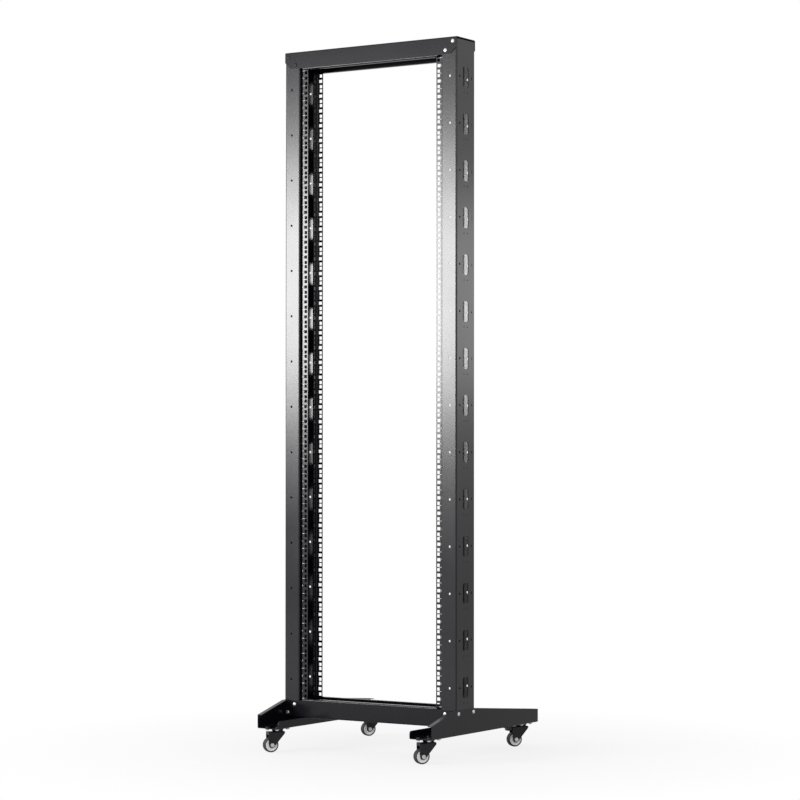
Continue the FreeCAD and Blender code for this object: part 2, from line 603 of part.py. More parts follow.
def fork(name, x, y):
    """The stamped fork: a hooded top, two tapering cheeks and their ends."""
    body = new_body(name, x, y, "0", turned=True)
    profile = new_sketch(body, "YZ_Plane")
    boss_y, boss_z, boss = -value("trail"), value("wheel_radius"), value("fork_boss")
    back_y, back_z = value("fork_back"), value(f"{FORK_TOP} - fork_skirt")
    # Tangent from the rear skirt's lower corner to the rounded end.
    reach = math.hypot(back_y - boss_y, back_z - boss_z)
    aim = math.atan2(back_z - boss_z, back_y - boss_y) - math.acos(boss / reach)
    touch = FreeCAD.Vector(boss_y + boss * math.cos(aim), boss_z + boss * math.sin(aim), 0)
    left = FreeCAD.Vector(boss_y - boss, boss_z, 0)
    centre = FreeCAD.Vector(boss_y, boss_z, 0)
    top = value(FORK_TOP)
    front = value("-fork_front")
    lip_z = value(f"{FORK_TOP} - fork_lip")
    points = [touch, FreeCAD.Vector(back_y, back_z, 0), FreeCAD.Vector(back_y, top, 0),
              FreeCAD.Vector(front, top, 0), FreeCAD.Vector(front, lip_z, 0), left]
    for start, end in zip(points, points[1:]):
        profile.addGeometry(Part.LineSegment(start, end), False)
    for index in range(4):
        join = Sketcher.Constraint("Coincident", index, 2, index + 1, 1)
        profile.addConstraint(join)
    ring = Part.Circle(centre, FreeCAD.Vector(0, 0, 1), boss)
    arc = profile.addGeometry(Part.ArcOfCircle(ring, math.pi, 2 * math.pi + aim), False)
    pin_point(profile, arc, 3, "-trail", "wheel_radius")
    radius_of(profile, arc, "fork_boss")
    profile.addConstraint(Sketcher.Constraint("Tangent", arc, 2, 0, 1))
    profile.addConstraint(Sketcher.Constraint("Coincident", 4, 2, arc, 1))
    index = profile.addConstraint(Sketcher.Constraint("DistanceY", -1, 1, arc, 1, boss_z))
    bind(profile, f"Constraints[{index}]", "wheel_radius")
    pin_point(profile, 1, 1, "fork_back", f"{FORK_TOP} - fork_skirt")
    pin_point(profile, 2, 1, "fork_back", FORK_TOP)
    pin_point(profile, 3, 1, "-fork_front", FORK_TOP)
    pin_point(profile, 4, 1, "-fork_front", f"{FORK_TOP} - fork_lip")
    feature(body, "Pad", profile, f"2 * {FORK_HALF}", both_ways=True)

    # Soft shoulders where the top folds into the cheeks.
    def shoulder(edge):
        box = edge.BoundBox
        along = box.YLength > value("fork_back")
        return along and abs(box.ZMin - top) < value(CLOSE) and box.ZLength < value(CLOSE)

    body.Placement, kept = FreeCAD.Placement(), body.Placement
    document.recompute()
    rounded(body, "fork_sheet + bend_radius / 2", shoulder)
    body.Placement = kept

    # The space inside: open at the back and below, closed by the front lip.
    hollow = new_sketch(body, "XZ_Plane", "-(fork_back + fork_sheet)")
    outline(hollow, box_corners("-fork_inside / 2", "fork_inside / 2", "-fork_boss",
                                f"{FORK_TOP} - fork_sheet"))
    feature(body, "Pocket", hollow, "fork_back + fork_front", reversed_way=True)
    mouth = new_sketch(body, "XZ_Plane", "-(fork_back + fork_sheet)")
    outline(mouth, box_corners("-fork_inside / 2", "fork_inside / 2", "-fork_boss",
                               f"{FORK_TOP} - fork_lip"))
    feature(body, "Pocket", mouth, "fork_back + trail + 3 * fork_boss", reversed_way=True)

    # Bearing hole for the swivel pin and the axle's hole in both cheeks.
    eye = new_sketch(body, "XY_Plane", FORK_TOP)
    circle(eye, "0", "0", "pin_radius + pin_fit")
    feature(body, "Pocket", eye, "2 * fork_sheet")
    axle_hole = new_sketch(body, "YZ_Plane")
    circle(axle_hole, "-trail", "wheel_radius", "axle_radius")
    feature(body, "Pocket", axle_hole, both_ways=True)
    return body


def on_axle(name, x, y):
    """An empty body whose X axis is the axle of the caster at (x, y)."""
    turn = "swivel_rest * 1 deg"
    return new_body(name, f"{x} + trail * sin({turn})", f"{y} - trail * cos({turn})",
                    "wheel_radius", turned=True)


def tyre(name, x, y):
    """The rubber tread with round shoulders."""
    body = on_axle(name, x, y)
    half = "(wheel_width / 2)"
    revolved(body, "XY_Plane", "X_Axis", [
        (f"-{half}", "core_radius"), (half, "core_radius"),
        (half, "wheel_radius", "tread_round"),
        (f"-{half}", "wheel_radius", "tread_round")])
    return body


def wheel_core(name, x, y):
    """The light wheel disc, dished between rim and hub, on a plain bore."""
    body = on_axle(name, x, y)
    half, hub = "(core_width / 2)", "(hub_width / 2)"
    rim, bore = "(core_radius - 2 * dish_depth)", "(axle_radius + axle_fit)"
    floor = "(core_width / 2 - dish_depth)"
    revolved(body, "XY_Plane", "X_Axis", [
        (f"-{half}", "core_radius"), (f"-{half}", rim), (f"-{floor}", rim),
        (f"-{floor}", "hub_radius"), (f"-{hub}", "hub_radius"), (f"-{hub}", bore),
        (hub, bore), (hub, "hub_radius"), (floor, "hub_radius"), (floor, rim),
        (half, rim), (half, "core_radius")])
    return body


def axle(name, x, y):
    """The axle bolt with its hexagonal head and nut against the cheeks."""
    body = on_axle(name, x, y)
    shank = new_sketch(body, "YZ_Plane")
    circle(shank, "0", "0", "axle_radius")
    feature(body, "Pad", shank, f"2 * ({FORK_HALF} + nut_height + fork_sheet / 2)",
            both_ways=True)
    for side in (-1, 1):
        hexagon = new_sketch(body, "YZ_Plane", side_text(side, FORK_HALF))
        point = "(nut_across / sqrt(3))"
        outline(hexagon, [
            (point, "0"), (f"{point} / 2", "nut_across / 2"),
            (f"-{point} / 2", "nut_across / 2"), (f"-{point}", "0"),
            (f"-{point} / 2", "-nut_across / 2"), (f"{point} / 2", "-nut_across / 2")])
        feature(body, "Pad", hexagon, "nut_height", reversed_way=side < 0)
    return body


def brake_pedal(name, x, y):
    """The rear casters' pedal: two bars on three posts, with a turned-down tip."""
    body = new_body(name, x, y, "0", turned=True)
    root, far = "(-fork_front)", "(-fork_front - pedal_reach)"
    tip = f"({far} - pedal_ear)"
    upper, lower = FORK_TOP, "(2 * wheel_radius + pedal_gap)"
    side_view = new_sketch(body, "YZ_Plane")
    outline(side_view, [
        (root, lower), (root, upper), (tip, upper), (tip, f"{upper} - pedal_turn"),
        (f"{tip} + pedal_sheet", f"{upper} - pedal_turn"),
        (f"{tip} + pedal_sheet", f"{upper} - pedal_sheet"),
        (far, f"{upper} - pedal_sheet"), (far, lower)])
    pane = "((pedal_reach - 3 * pedal_sheet) / 2)"
    for order in (0, 1):
        near = f"({root} - pedal_sheet - {order} * ({pane} + pedal_sheet))"
        outline(side_view, box_corners(
            f"{near} - {pane}", near, f"{lower} + pedal_sheet", f"{upper} - pedal_sheet"))
    feature(body, "Pad", side_view, "pedal_width", both_ways=True)
    return body


parts = []
for side, hand in ((-1, "left"), (1, "right")):
    parts.append(upright(f"{hand}_upright", side))
    parts.append(rail(f"{hand}_front_rail", side, -1))
    parts.append(rail(f"{hand}_rear_rail", side, 1))
    parts.append(floor_leg(f"{hand}_leg", side))
    for at_rear, end in ((False, "front"), (True, "rear")):
        spot = (side_text(side, CASTER_LINE), caster_y(at_rear))
        caster = f"{end}_{hand}"
        parts.append(caster_plate(f"{caster}_caster_plate", *spot))
        parts.append(swivel_pin(f"{caster}_swivel_pin", *spot))
        parts.append(fork(f"{caster}_fork", *spot))
        parts.append(axle(f"{caster}_axle", *spot))
        parts.append(tyre(f"{caster}_tyre", *spot))
        parts.append(wheel_core(f"{caster}_wheel", *spot))
        if at_rear:
            parts.append(brake_pedal(f"{caster}_brake_pedal", *spot))
parts.append(cross_beam("top_beam", RACK_TOP, -1))
parts.append(cross_beam("bottom_beam", BOTTOM_WEB, 1))

document.recompute()
for thing in document.Objects:
    if "Invalid" in thing.State or "Error" in thing.State:
        raise RuntimeError(f"{thing.Label} did not build: {thing.State}")
for part in parts:
    if part.Shape.isNull() or not part.Shape.isValid() or len(part.Shape.Solids) != 1:
        raise RuntimeError(f"{part.Label} is not one valid solid")

os.makedirs("parts", exist_ok=True)
for part in parts:
    part.Shape.exportStep(os.path.join("parts", part.Label + ".step"))
    print(f"{part.Label}: {part.Shape.Volume:.0f} mm3")
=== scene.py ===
"""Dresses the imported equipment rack: paint, plating, printed unit marks and small fasteners."""

import json
import math

import bpy
import numpy as np
from bpy.props import FloatProperty, FloatVectorProperty, IntProperty, PointerProperty
from mathutils import Matrix, Vector


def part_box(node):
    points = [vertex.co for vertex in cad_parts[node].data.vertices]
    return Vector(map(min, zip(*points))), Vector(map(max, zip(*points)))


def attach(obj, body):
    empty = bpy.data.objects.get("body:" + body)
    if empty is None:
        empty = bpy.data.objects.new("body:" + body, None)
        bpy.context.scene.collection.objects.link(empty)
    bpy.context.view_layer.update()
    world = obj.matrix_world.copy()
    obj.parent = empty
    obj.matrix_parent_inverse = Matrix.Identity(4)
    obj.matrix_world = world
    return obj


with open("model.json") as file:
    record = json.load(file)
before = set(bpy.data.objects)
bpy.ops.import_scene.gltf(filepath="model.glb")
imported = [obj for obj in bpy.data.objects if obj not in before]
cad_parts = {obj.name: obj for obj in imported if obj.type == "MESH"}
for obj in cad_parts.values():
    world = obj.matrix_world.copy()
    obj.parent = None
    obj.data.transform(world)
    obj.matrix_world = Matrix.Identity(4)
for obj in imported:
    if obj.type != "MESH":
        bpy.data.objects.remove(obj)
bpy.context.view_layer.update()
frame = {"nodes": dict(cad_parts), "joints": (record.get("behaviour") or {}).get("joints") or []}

bl_info = {
    "name": "Equipment rack finish",
    "version": (1, 0, 0),
    "blender": (4, 5, 0),
    "location": "3D View > Sidebar > Rack",
    "description": "Paints the equipment rack and adds its printed marks, screws and bolts",
    "category": "Object",
}

MM = 0.001
FRAME_BODY = "frame"
SLOTS = 14                 # cable slots in each upright

# Sizes and places on the steel, in millimetres.
SHEET = 2.0                # thickness of the legs' steel
BEAM_TO_UNITS = 56.5       # a beam's web to the nearest rack unit
SLOT_MARGIN = 55.95        # the end units' outer edges to the end slots' middles
SLOT_TO_TIE_HOLES = 45.0   # a slot's middle down to its pair of tie holes
TIE_HOLE_SIDE = 9.0        # a tie hole from the upright's axis
LEG_TO_TIE_HOLES = 5.0     # least height of a tie hole above the leg
BEAM_SCREW_IN = 12.0       # outer beam screw, in from the beam's end
BEAM_SCREW_DROP = 13.2     # outer beam screw, from the beam's web
BEAM_SCREW_STEP = 25.0     # second beam screw, inwards and onwards
LEG_SCREW_REACH = 41.0     # side screws, from the upright's axis
LEG_SCREW_DROP = 10.7      # side screws, below the leg's top
BOLT_ACROSS = 18.0         # caster bolt, from the plate's middle across the leg
BOLT_ALONG = 26.0          # caster bolt, from the plate's middle along the leg
PLATE_THICK = 2.5          # caster plate
CHEEK_FACE = 14.0          # fork cheek's outer face, from the wheel's middle
LINE_INNER_END = 236.5     # unit line's inner end, from the rack's middle
FIGURE_MIDDLE = 242.4      # unit number's middle, from the rack's middle
INK_RAISE = 0.06           # tie hole's disc of painted shade, out from the web
DISC_RAISE = 0.02          # tie hole's disc, out from the web
DISC_DOME = 0.04           # height of that disc's middle
CROSS_DEPTH = 1.4          # depth of a screw head's cross
BOLT_RADIUS = 3.0          # caster bolt
BOLT_HEAD_RADIUS = 6.6     # its domed head inside the leg
BOLT_HEAD_HEIGHT = 2.6
WASHER_HOLE = 3.1          # axle washer's radii and thickness
WASHER_RADIUS = 5.6
WASHER_THICK = 0.9

# The photograph's camera: pixels, its place in metres, and its turn in degrees to the
# side, up and over.
PHOTO_WIDTH = 800
PHOTO_FOCAL = 2571.5       # focal length
PHOTO_SHIFT = 19.1         # how far the lens is raised
CAMERA_PLACE = (4.1445, -6.4313, 0.8877)
CAMERA_TURN = (32.789, 0.694, 0.041)
SENSOR_WIDTH = 36.0        # in millimetres

# Each soft light's power setting, its place, the point it looks at, and its two sides, in
# metres.
SOFT_LIGHTS = {
    "front_softbox": ("key_power", (-2.47, -3.93, 1.66), (0, 0, 1.5), (1.9, 1.12)),
    "rear_side_card": ("side_power", (2.6, 3.4, 1.58), (0.3, -0.1, 1.3), (2.0, 0.86)),
    "camera_side_fill": ("fill_power", (2.3, -3.6, 2.0), (0.3, -0.1, 1.6), (1.0, 1.1)),
}
FLOOR_HALF = 40.0          # half the floor's side, in metres
LEAST_WHITE = 0.8          # share of plain white in the floor near the rack
LEAST_WHITE_TO = 0.45      # which holds this far from the rack's middle, in metres
ALL_WHITE_FROM = 1.3       # and is all white from here
TYPE_SIZE = 1.4            # size of the numbers' type over the height of a figure

HANDS = (("left", -1), ("right", 1))
CASTERS = ("front_left", "front_right", "rear_left", "rear_right")
FRAME_NODES = ("left_upright", "right_upright", "left_front_rail", "right_front_rail",
               "left_rear_rail", "right_rear_rail", "left_leg", "right_leg",
               "top_beam", "bottom_beam")


# Where the dressed pieces go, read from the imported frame.

def node_box(name):
    """The lowest and highest corner of a CAD node, in metres, as arrays."""
    low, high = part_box(name)
    return np.array(low), np.array(high)


def column_middle():
    """Depth of the uprights' axis."""
    low, high = node_box("left_upright")
    return (low[1] + high[1]) / 2


def lowest_unit():
    """Height of the lowest rack unit's lower edge."""
    return node_box("bottom_beam")[0][2] + BEAM_TO_UNITS * MM


# Geometry worked out as whole arrays.

EDGE_ANGLE = 0.6           # faces that meet at more than this, in radians, meet at an edge
HEAD_SEGMENTS = 48
RING_SEGMENTS = 40
DISC_SEGMENTS = 16
CROSS_REACH = 0.52         # length of a cross's arm, as a share of the head's radius
CROSS_HALF_WIDTH = 0.11    # and half the arm's width

# Rings of a screw head, as shares of its radius, closest together at the rim.
HEAD_RINGS = (1.0, 0.99, 0.96, 0.9, 0.82, 0.7, 0.56, 0.5, 0.44, 0.36, 0.28, 0.2, 0.12, 0.06,
              0.0001)


def mesh_object(name, points, faces):
    """A new object with its place in its mesh, from points and lists of face corners."""
    mesh = bpy.data.meshes.new(name)
    mesh.from_pydata(np.asarray(points).tolist(), [], faces)
    mesh.validate()
    made = bpy.data.objects.new(name, mesh)
    bpy.context.scene.collection.objects.link(made)
    return made


def turned_grid(profile, segments, corners=None):
    """A profile of (radius, height) carried round the Z axis, as vertices and quads.

    Point (i, k) is (r_i cos a_k, r_i sin a_k, h_i), with a_k = 2 pi k / n. With corners
    given, the radius is that of a regular polygon, r / cos(a mod (2 pi / corners) - pi /
    corners).
    """
    profile = np.asarray(profile, dtype=float)
    angle = np.arange(segments) * 2 * np.pi / segments
    reach = np.ones(segments)
    if corners:
        sector = 2 * np.pi / corners
        inside = np.mod(angle, sector) - sector / 2
        reach = 1 / np.cos(inside)
    radius = profile[:, 0, None] * reach[None, :]
    height = np.repeat(profile[:, 1, None], segments, axis=1)
    vertices = np.stack((radius * np.cos(angle), radius * np.sin(angle), height), axis=-1)
    ring = np.arange(segments)
    step = np.roll(ring, -1)
    start = (np.arange(len(profile) - 1) * segments)[:, None]
    faces = np.stack((start + ring, start + step, start + segments + step,
                      start + segments + ring), axis=-1)
    return vertices.reshape(-1, 3), faces.reshape(-1, 4)


def closed_at_ends(vertices, faces, segments):
    """Closes the first and the last ring, each by a fan of triangles about its mean point."""
    count = len(vertices)
    ring = np.arange(segments)
    step = np.roll(ring, -1)
    low = vertices[:segments].mean(axis=0)
    high = vertices[-segments:].mean(axis=0)
    vertices = np.vstack((vertices, low, high))
    bottom = np.stack((step, ring, np.full(segments, count)), axis=-1)
    last = count - segments
    top = np.stack((last + ring, last + step, np.full(segments, count + 1)), axis=-1)
    return vertices, faces.tolist() + bottom.tolist() + top.tolist()


def placed_copies(vertices, faces, places):
    """One set of vertices and faces for each matrix in places, joined."""
    points = np.hstack((vertices, np.ones((len(vertices), 1))))
    every = [points @ np.array(place).T[:, :3] for place in places]
    shifted = [[index + number * len(vertices) for index in face]
               for number in range(len(places)) for face in faces]
    return np.vstack(every), shifted


def faced(position, direction, spin=0.0):
    """The matrix that puts a piece's own +Z along direction, at position, turned by spin."""
    turn = Vector(direction).to_track_quat("Z", "Y").to_matrix().to_4x4()
    return Matrix.Translation(Vector(position)) @ turn @ Matrix.Rotation(spin, 4, "Z")


def copies_object(name, vertices, faces, places):
    """An object holding one copy of a shape at each place, smooth but for its edges."""
    made = mesh_object(name, *placed_copies(vertices, faces, places))
    made.data.polygons.foreach_set("use_smooth", np.ones(len(made.data.polygons), dtype=bool))
    made.data.set_sharp_from_angle(angle=EDGE_ANGLE)
    return made


def screw_head(radius, height, recess):
    """A pan head with a cross recess, standing on z = 0.

    The head is z = h (1 - (r / R) ** 4) ** 0.5. Inside the cross, where the smaller of |x|
    and |y| is under half the arm's width and r is under the arm's length c, it sinks by the
    recess times (1 - (r / c) ** 2) ** 0.35.
    """
    share = np.array(HEAD_RINGS)
    profile = np.stack((share * radius, height * (1 - share ** 4) ** 0.5), axis=-1)
    vertices, faces = turned_grid(profile, HEAD_SEGMENTS)
    across = np.minimum(np.abs(vertices[:, 0]), np.abs(vertices[:, 1]))
    reach = np.hypot(vertices[:, 0], vertices[:, 1]) / (CROSS_REACH * radius)
    sunk = (across < CROSS_HALF_WIDTH * radius) & (reach < 1)
    depth = recess * np.maximum(1 - reach ** 2, 0) ** 0.35
    vertices[:, 2] -= np.where(sunk, depth, 0.0)
    return closed_at_ends(vertices, faces, HEAD_SEGMENTS)


def hexagon_nut(across, height, bore):
    """A nut with chamfered corners, standing on z = 0, with a bolt end inside.

    The wall is a hexagon, and its chamfer narrows to a circle inside it. The upper face
    then sinks a little to the bolt, and the bolt's end rises from there.
    """
    flat = across / 2
    count = HEAD_SEGMENTS
    outside, outside_faces = turned_grid([(flat, 0), (flat, 0.82 * height)], count, corners=6)
    upper, upper_faces = turned_grid(
        [(0.97 * flat, height), (bore * 1.15, height), (bore, 0.93 * height)], count)
    stem, stem_faces = turned_grid(
        [(bore, 0.93 * height), (bore, 1.2 * height), (0.85 * bore, 1.3 * height)], count)
    ring = np.arange(count)
    step = np.roll(ring, -1)
    bridge = np.stack((count + ring, count + step, 2 * count + step, 2 * count + ring), axis=-1)
    faces = np.vstack((outside_faces, bridge, upper_faces + 2 * count,
                       stem_faces + 5 * count))
    return closed_at_ends(np.vstack((outside, upper, stem)), faces, count)


def flat_ring(inner, outer, height):
    """A washer standing on z = 0: a rectangle with one corner cut off, turned about Z."""
    ease = height * 0.25
    profile = [(inner, 0), (outer, 0), (outer, height - ease), (outer - ease, height),
               (inner, height), (inner, 0)]
    vertices, faces = turned_grid(profile, RING_SEGMENTS)
    return vertices, faces.tolist()


# Materials: shader maths written as expressions.

class Field:
    """A value running through a tree of nodes, used in plain arithmetic."""

    def __init__(self, owner, socket):
        self.owner = owner
        self.socket = socket

    def maths(self, operation, first, second):
        """A Math node's result."""
        made = self.owner.node("ShaderNodeMath", {"operation": operation},
                               {0: first, 1: second})
        return Field(self.owner, made.outputs[0])

    def __add__(self, other):
        return self.maths("ADD", self, other)

    __radd__ = __add__

    def __sub__(self, other):
        return self.maths("SUBTRACT", self, other)

    def __rsub__(self, other):
        return self.maths("SUBTRACT", other, self)

    def __mul__(self, other):
        return self.maths("MULTIPLY", self, other)

    __rmul__ = __mul__

    def larger(self, other):
        """The larger of the two values."""
        return self.maths("MAXIMUM", self, other)


class NodeTree:
    """The nodes of a material or of the world."""

    def __init__(self, owner):
        owner.use_nodes = True
        self.tree = owner.node_tree
        self.tree.nodes.clear()

    def node(self, kind, settings=None, inputs=None):
        """A new node; its settings come first, then its sockets' values or links."""
        made = self.tree.nodes.new(kind)
        for key, setting in (settings or {}).items():
            setattr(made, key, setting)
        for key, given in (inputs or {}).items():
            self.feed(made.inputs[key], given)
        return made

    def feed(self, socket, given):
        """Links a field into a socket, or sets the socket's own value."""
        if isinstance(given, Field):
            self.tree.links.new(given.socket, socket)
        elif isinstance(given, (tuple, list)) and len(given) == 3 and socket.type == "RGBA":
            socket.default_value = (*given, 1)
        else:
            socket.default_value = given


class Finish(NodeTree):
    """A material with one surface shader, and the nodes that vary it."""

    def __init__(self, name, **constants):
        self.material = bpy.data.materials.new(name)
        super().__init__(self.material)
        self.shader = self.node("ShaderNodeBsdfPrincipled", None, constants)
        self.output = self.node("ShaderNodeOutputMaterial", None, {
            "Surface": Field(self, self.shader.outputs["BSDF"])})

    def place(self, stretch):
        """Object coordinates, stretched."""
        where = self.node("ShaderNodeTexCoord")
        mapped = self.node("ShaderNodeMapping", None, {
            "Vector": Field(self, where.outputs["Object"]), "Scale": stretch})
        return Field(self, mapped.outputs["Vector"])

    def noise(self, scale, detail, stretch=(1, 1, 1), roughness=0.5):
        """Noise from 0 to 1 over the surface; scale is in grains per metre."""
        made = self.node("ShaderNodeTexNoise", None, {
            "Vector": self.place(stretch), "Scale": scale, "Detail": detail,
            "Roughness": roughness})
        return Field(self, made.outputs["Fac"])

    def between(self, value, low, high):
        """The value stretched so that low becomes 0 and high becomes 1, and held there."""
        made = self.node("ShaderNodeMapRange", {"clamp": True}, {
            "Value": value, "From Min": low, "From Max": high})
        return Field(self, made.outputs["Result"])

    def blend(self, factor, first, second):
        """A colour between two colours: inputs 6 and 7 and output 2 of a Mix node."""
        made = self.node("ShaderNodeMix", {"data_type": "RGBA"}, {
            0: factor, 6: first, 7: second})
        return Field(self, made.outputs[2])

    def bump(self, height, distance, strength):
        """Feeds a height, in metres when multiplied by distance, into the normal."""
        made = self.node("ShaderNodeBump", None, {
            "Height": height, "Distance": distance, "Strength": strength})
        self.set(Normal=Field(self, made.outputs["Normal"]))

    def set(self, **values):
        """Sets or links the surface shader's sockets."""
        for key, given in values.items():
            self.feed(self.shader.inputs[key.replace("_", " ")], given)


def powder_coat(name, settings, index):
    """Black semi-gloss powder coat: fine orange peel, faint dust and uneven gloss."""
    coat = Finish(name, Metallic=0.0, IOR=index)
    cloud = coat.noise(7.0, 4.0)
    grain = coat.noise(1400.0, 2.0)
    peel = coat.noise(330.0, 2.0)
    dust = coat.between(coat.noise(90.0, 6.0, roughness=0.7), 0.62, 0.8) * cloud
    black = tuple(settings.paint_colour)
    worn = tuple(shade * 1.5 + 0.002 for shade in black)
    coat.set(Base_Color=coat.blend(dust * 0.5, black, worn))
    coat.set(Roughness=(cloud - 0.5) * 0.06 + grain * 0.04 + dust * 0.1
             + (settings.paint_roughness - 0.02))
    coat.bump(peel * 0.7 + grain * 0.3, settings.peel_depth, 0.35)
    return coat.material


def plated_steel(name, colour, roughness):
    """Zinc-plated pressed steel: fine drawn streaks and cloudy plating."""
    zinc = Finish(name, Metallic=1.0)
    uneven = 0.12
    cloud = zinc.noise(160.0, 4.0)
    streaks = zinc.noise(900.0, 2.0, stretch=(1, 1, 0.12))
    darker = tuple(shade * 0.72 for shade in colour)
    zinc.set(Base_Color=zinc.blend(zinc.between(cloud, 0.3, 0.7), darker, colour))
    zinc.set(Roughness=roughness + (cloud - 0.5) * uneven + (streaks - 0.5) * uneven)
    zinc.bump(streaks, 0.00004, 0.3)
    return zinc.material


def tread_rubber(settings):
    """Black rubber: dull, slightly dusty, with a fine grain."""
    rubber = Finish("tread_rubber", Metallic=0.0, IOR=1.5)
    grain = rubber.noise(1800.0, 2.0)
    scuff = rubber.between(rubber.noise(240.0, 5.0, roughness=0.7), 0.5, 0.75)
    grey = tuple(settings.rubber_colour)
    paler = tuple(min(1.0, shade * 1.6 + 0.01) for shade in grey)
    rubber.set(Base_Color=rubber.blend(scuff * 0.6, grey, paler))
    rubber.set(Roughness=0.58 + scuff * 0.15)
    rubber.bump(grain, 0.00005, 0.4)
    return rubber.material


def moulded_plastic(settings):
    """The wheel's pale moulded plastic: slight sheen, faint flow marks."""
    plastic = Finish("wheel_plastic", Metallic=0.0, IOR=1.46)
    flow = plastic.noise(120.0, 3.0)
    pale = tuple(settings.wheel_colour)
    shaded = tuple(shade * 0.9 for shade in pale)
    plastic.set(Base_Color=plastic.blend(flow, shaded, pale))
    plastic.set(Roughness=0.36 + flow * 0.12)
    plastic.bump(plastic.noise(900.0, 2.0), 0.00003, 0.3)
    return plastic.material


def white_ink(settings):
    """Screen-printed white ink, with slightly broken edges of tone."""
    ink = Finish("white_ink", Metallic=0.0, IOR=1.45)
    patch = ink.between(ink.noise(2600.0, 3.0), 0.25, 0.6)
    pale = tuple(settings.ink_colour)
    thin = tuple(shade * 0.8 for shade in pale)
    ink.set(Base_Color=ink.blend(patch, thin, pale))
    ink.set(Roughness=0.5 + patch * 0.1)
    return ink.material


def studio_floor(settings):
    """The pale floor, seen as nearly white near the rack and as plain white away from it.

    The share of white grows evenly with the distance from the rack's middle, from the least
    share at the inner radius to 1 at the outer one.
    """
    floor = Finish("studio_floor", Roughness=0.85, IOR=1.3)
    floor.set(Base_Color=tuple(settings.floor_colour))
    where = floor.node("ShaderNodeTexCoord")
    reach = floor.node("ShaderNodeVectorMath", {"operation": "LENGTH"}, {
        0: Field(floor, where.outputs["Object"])})
    away = floor.between(Field(floor, reach.outputs["Value"]), LEAST_WHITE_TO,
                         ALL_WHITE_FROM)
    seen = floor.node("ShaderNodeLightPath")
    white = floor.node("ShaderNodeEmission", None, {
        "Color": (1, 1, 1), "Strength": 1.0})
    share = (away * (1 - LEAST_WHITE) + LEAST_WHITE) * Field(
        floor, seen.outputs["Is Camera Ray"])
    joined = floor.node("ShaderNodeMixShader", None, {
        0: share, 1: Field(floor, floor.shader.outputs["BSDF"]),
        2: Field(floor, white.outputs["Emission"])})
    floor.feed(floor.output.inputs["Surface"], Field(floor, joined.outputs["Shader"]))
    return floor.material


def paint(target, material):
    """Gives every material slot of an object this material."""
    slots = target.material_slots
    if not slots:
        target.data.materials.append(material)
    for slot in slots:
        slot.material = material


def dress(name, material):
    """Gives a CAD node its finish."""
    paint(frame["nodes"][name], material)


def finished_piece(piece, material, body):
    """Paints a new piece and lets it ride on its body."""
    paint(piece, material)
    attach(piece, body)


# Sizes and colours that a user would change.

class RACK_PG_finish(bpy.types.PropertyGroup):
    """Colours and gloss of the rack's finishes."""
    paint_colour: FloatVectorProperty(
        name="Paint", description="Colour of the powder coat", subtype="COLOR", size=3,
        default=(0.0034, 0.0033, 0.0055), min=0, max=1)
    paint_roughness: FloatProperty(
        name="Paint roughness", description="Roughness of the powder coat", default=0.22,
        min=0, max=1, subtype="FACTOR")
    paint_index: FloatProperty(
        name="Column gloss", description="Refractive index of the uprights' powder coat",
        default=1.45, min=1, max=2.5)
    # The beams' and legs' coat has a lower index, so it reflects less: a painted shade that
    # darkens them beside the uprights.
    dull_index: FloatProperty(
        name="Beam gloss", description="Refractive index of the beams' and legs' coat",
        default=1.33, min=1, max=2.5)
    peel_depth: FloatProperty(
        name="Orange peel", description="Depth of the coat's unevenness", default=0.00004,
        min=0, max=0.001, precision=6, unit="LENGTH")
    plate_colour: FloatVectorProperty(
        name="Plate", description="Colour of the casters' top plates", subtype="COLOR",
        size=3, default=(0.05, 0.05, 0.052), min=0, max=1)
    fork_colour: FloatVectorProperty(
        name="Fork", description="Colour of the caster forks", subtype="COLOR",
        size=3, default=(0.035, 0.035, 0.037), min=0, max=1)
    bolt_colour: FloatVectorProperty(
        name="Bolt plating", description="Colour of bolts and nuts", subtype="COLOR",
        size=3, default=(0.72, 0.72, 0.71), min=0, max=1)
    rubber_colour: FloatVectorProperty(
        name="Tread", description="Colour of the tyres", subtype="COLOR", size=3,
        default=(0.011, 0.011, 0.012), min=0, max=1)
    wheel_colour: FloatVectorProperty(
        name="Wheel", description="Colour of the wheel discs", subtype="COLOR", size=3,
        default=(0.86, 0.86, 0.86), min=0, max=1)
    ink_colour: FloatVectorProperty(
        name="Print", description="Colour of the printed marks", subtype="COLOR", size=3,
        default=(0.82, 0.82, 0.82), min=0, max=1)


class RACK_PG_marks(bpy.types.PropertyGroup):
    """Sizes of the printed unit numbers and lines."""
    units: IntProperty(name="Units", description="Number of rack units", default=42,
                       min=1, max=60)
    unit_height: FloatProperty(name="Unit height", description="Height of a rack unit",
                               default=0.04445, precision=5, unit="LENGTH")
    figure_height: FloatProperty(name="Figure height", description="Height of a number",
                                 default=0.0036, precision=5, unit="LENGTH")
    line_width: FloatProperty(name="Line width", description="Width of a unit line",
                              default=0.0009, precision=5, unit="LENGTH")
    line_length: FloatProperty(name="Line length", description="Length of a unit line",
                               default=0.0075, precision=5, unit="LENGTH")


class RACK_PG_fasteners(bpy.types.PropertyGroup):
    """Sizes of the screws and bolts."""
    screw_radius: FloatProperty(name="Screw head", description="Radius of a frame screw",
                                default=0.0058, precision=5, unit="LENGTH")
    screw_height: FloatProperty(name="Screw height", description="Height of a screw head",
                                default=0.0026, precision=5, unit="LENGTH")
    nut_across: FloatProperty(name="Nut", description="Caster nut across its flats",
                              default=0.010, precision=5, unit="LENGTH")
    nut_height: FloatProperty(name="Nut height", description="Height of a caster nut",
                              default=0.0032, precision=5, unit="LENGTH")
    tie_hole_radius: FloatProperty(name="Tie hole", description="Radius of a small tie hole",
                                   default=0.002, precision=5, unit="LENGTH")


